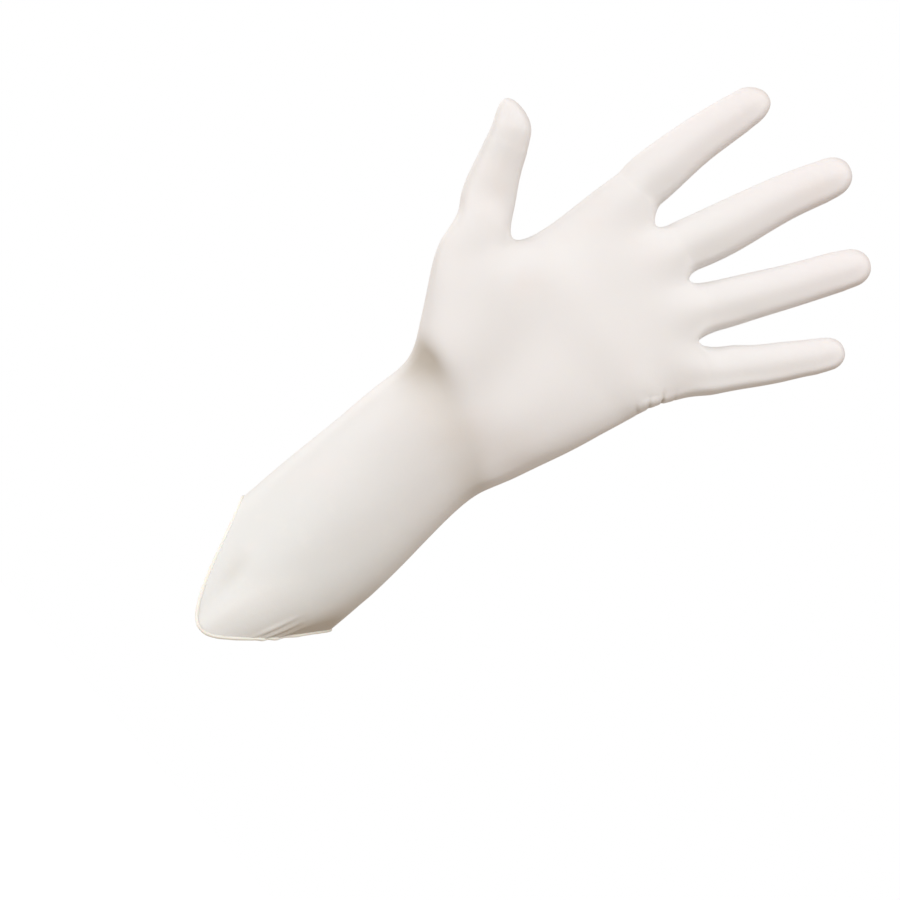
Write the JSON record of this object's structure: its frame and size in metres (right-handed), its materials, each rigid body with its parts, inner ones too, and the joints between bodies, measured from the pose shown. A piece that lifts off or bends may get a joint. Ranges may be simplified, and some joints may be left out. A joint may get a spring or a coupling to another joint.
{
  "type": "latex glove",
  "caption": "Thin unlined disposable hand glove of smooth pale latex, shown worn by a spread left hand, its long beaded cuff being pulled on.",
  "frame": {"origin": "middle of the wrist, inside the glove, where the hand turns from the forearm; the wrist holds the glove there", "axes": "+Z along the forearm's line in the picture towards the fingertips, -Y out of the palm, +X to the little-finger side, -X to the thumb side"},
  "size_m": [0.1526, 0.0658, 0.2931],
  "materials": {
    "latex": "smooth matt cream latex film"
  },
  "bodies": {
    "root": {"glove": "latex"}
  },
  "joints": []
}
